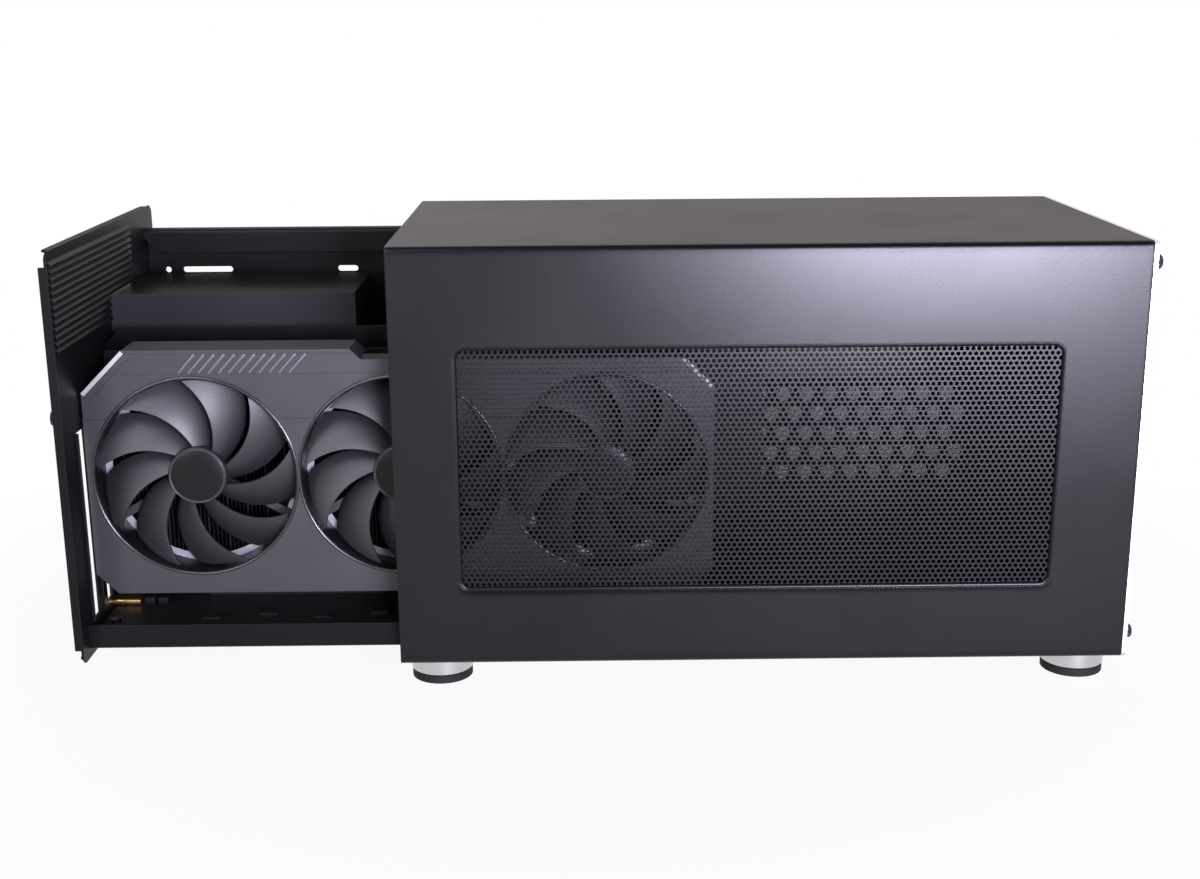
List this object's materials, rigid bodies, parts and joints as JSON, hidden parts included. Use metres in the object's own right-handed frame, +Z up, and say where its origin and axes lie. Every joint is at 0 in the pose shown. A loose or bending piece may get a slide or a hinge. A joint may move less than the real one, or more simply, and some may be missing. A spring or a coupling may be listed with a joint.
{
  "type": "external graphics card enclosure",
  "caption": "Black box with a perforated side window; its chassis slides out of one end, carrying a graphics card, power supply and interface board.",
  "frame": {"origin": "on the floor under the middle of the whole, with the chassis drawn out as it is stored", "axes": "+X along the cover from the drawn-out chassis to the end plate, +Y from the window to the back wall, +Z up"},
  "size_m": [0.5066, 0.18, 0.2085],
  "materials": {
    "cover_black": "satin black powder coat",
    "mesh_black": "satin black, finely perforated",
    "chassis_black": "matt black coat",
    "plate_silver": "brushed and anodised",
    "foot_silver": "turned bright",
    "rubber_black": "matt rubber",
    "screw_black": "blackened",
    "screw_steel": "plated",
    "board_black": "black solder resist",
    "connector_black": "moulded",
    "port_gold": "gold plated",
    "port_steel": "plated",
    "chip_grey": "moulded package",
    "shroud_grey": "fine-grained dark grey",
    "trim_silver": "bright",
    "fan_black": "satin",
    "sink_aluminium": "raw fins",
    "psu_black": "matt coat",
    "plastic_black": "moulded"
  },
  "bodies": {
    "cover": {"outer_cover": "cover_black", "window_mesh": "mesh_black", "base_plate": "chassis_black", "guide_rails": "chassis_black", "end_plate": "plate_silver", "end_thumbscrews": "screw_black", "feet": "foot_silver", "foot_pads": "rubber_black", "foot_screws": "screw_steel"},
    "chassis": {"chassis_tray": "chassis_black", "rear_panel": "chassis_black", "rear_thumbscrews": "screw_black", "board_standoffs": "port_gold", "interface_board": "board_black", "board_screws": "screw_steel", "slot_connector": "connector_black", "controller": "chip_grey", "data_port": "port_gold", "fan_shroud": "shroud_grey", "fan_stators": "fan_black", "shroud_trim": "trim_silver", "heat_sink": "sink_aluminium", "graphics_chip": "chip_grey", "card_board": "board_black", "card_backplate": "shroud_grey", "card_bracket": "port_steel", "display_sockets": "port_steel", "power_socket": "connector_black", "psu_case": "psu_black", "psu_cover": "psu_black", "psu_guard": "screw_steel", "psu_fan_frame": "plastic_black", "psu_screws": "screw_steel", "mains_inlet": "plastic_black", "switch_housing": "plastic_black"},
    "fan_1": {"fan_rotor_1": "fan_black"},
    "fan_2": {"fan_rotor_2": "fan_black"},
    "fan_3": {"fan_rotor_3": "fan_black"},
    "psu_fan": {"psu_fan_rotor": "fan_black"},
    "rocker": {"switch_rocker": "plastic_black"}
  },
  "joints": [
    {"name": "chassis_slide", "type": "slide", "parent": "cover", "child": "chassis", "axis": [-1, 0, 0], "range_m": [-0.1482, 0.18]},
    {"name": "fan_1_spin", "type": "hinge", "parent": "chassis", "child": "fan_1", "pos_m": [-0.18915, -0.06, 0.0964], "axis": [0, 1, 0], "continuous": true},
    {"name": "fan_2_spin", "type": "hinge", "parent": "chassis", "child": "fan_2", "pos_m": [-0.09215, -0.06, 0.0964], "axis": [0, 1, 0], "continuous": true},
    {"name": "fan_3_spin", "type": "hinge", "parent": "chassis", "child": "fan_3", "pos_m": [0.00485, -0.06, 0.0964], "axis": [0, 1, 0], "continuous": true},
    {"name": "psu_fan_spin", "type": "hinge", "parent": "chassis", "child": "psu_fan", "pos_m": [-0.18015, 0.0596, 0.111], "axis": [0, 1, 0], "continuous": true},
    {"name": "rocker_tilt", "type": "hinge", "parent": "chassis", "child": "rocker", "pos_m": [-0.23675, 0.0486, 0.0765], "axis": [0, 1, 0], "range_deg": [0, 18]}
  ]
}
